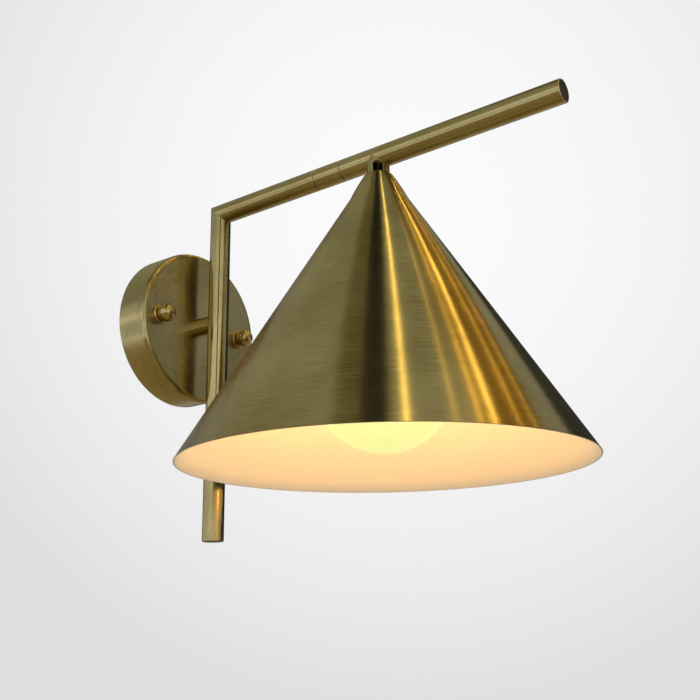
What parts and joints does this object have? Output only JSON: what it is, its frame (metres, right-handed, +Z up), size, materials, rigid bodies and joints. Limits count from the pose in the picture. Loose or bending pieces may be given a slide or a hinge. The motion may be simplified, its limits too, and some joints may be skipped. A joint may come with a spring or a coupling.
{
  "type": "hanging pendant wall sconce",
  "caption": "Wall sconce: round canopy, upright tube and horizontal arm with a swivel, open cone shade hanging from the arm, opal globe bulb.",
  "frame": {"origin": "centre of the canopy's back, on the wall", "axes": "+Z up, -Y out from the wall into the room, +X to the right for someone facing the wall; the arm runs along -Y"},
  "size_m": [0.272, 0.342, 0.2675],
  "materials": {
    "zinc_steel": "zinc plated, satin",
    "brushed_brass": "aged brass, brushed lengthways and lacquered satin",
    "shade_brass": "aged brass outside, brushed round the cone and lacquered satin; white enamel inside",
    "polished_brass": "aged brass, polished",
    "raw_brass": "turned, unlacquered",
    "white_plastic": "moulded, matt",
    "black_plastic": "moulded, matt",
    "black_steel": "blackened",
    "white_ceramic": "glazed",
    "nickel": "nickel plated",
    "opal_glass": "opal, satin, lit warm white",
    "black_glass": "gloss",
    "solder": "dull",
    "lead_sheath": "flexible sheath, matt"
  },
  "bodies": {
    "wall_frame": {"wall_bracket": "zinc_steel", "bracket_studs": "zinc_steel", "canopy": "brushed_brass", "cap_nuts": "polished_brass", "stem_sleeve": "brushed_brass", "stem_nipple": "zinc_steel", "stem_washer": "zinc_steel", "stem_nut": "zinc_steel", "terminal_block": "white_plastic", "block_screw": "zinc_steel", "earth_screw": "raw_brass", "upright_tube": "brushed_brass", "arm_stub": "brushed_brass", "upright_boss": "raw_brass", "upright_plug": "black_plastic", "swivel_insert": "raw_brass", "swivel_spigot": "zinc_steel", "swivel_collar": "brushed_brass", "seam_washer": "black_plastic", "stop_pin": "zinc_steel", "spring_washer": "zinc_steel", "swivel_nut": "zinc_steel", "frame_lead": "lead_sheath"},
    "lamp_head": {"arm_tube": "brushed_brass", "tee_block": "raw_brass", "arm_plug": "black_plastic", "swivel_bush": "raw_brass", "shade_neck": "brushed_brass", "shade": "shade_brass", "neck_nipple": "black_steel", "shade_washer": "zinc_steel", "shade_nut": "zinc_steel", "lampholder_cap": "white_plastic", "lampholder_body": "white_plastic", "contact_base": "white_ceramic", "screw_shell": "nickel", "centre_contact": "raw_brass", "bulb_globe": "opal_glass", "bulb_collar": "white_plastic", "bulb_screw_cap": "nickel", "bulb_insulator": "black_glass", "bulb_tip": "solder", "head_lead": "lead_sheath"}
  },
  "joints": [
    {"name": "head_swivel", "type": "hinge", "parent": "wall_frame", "child": "lamp_head", "pos_m": [0, -0.17, 0.0915], "axis": [0, -1, 0], "range_deg": [-165, 165]}
  ]
}
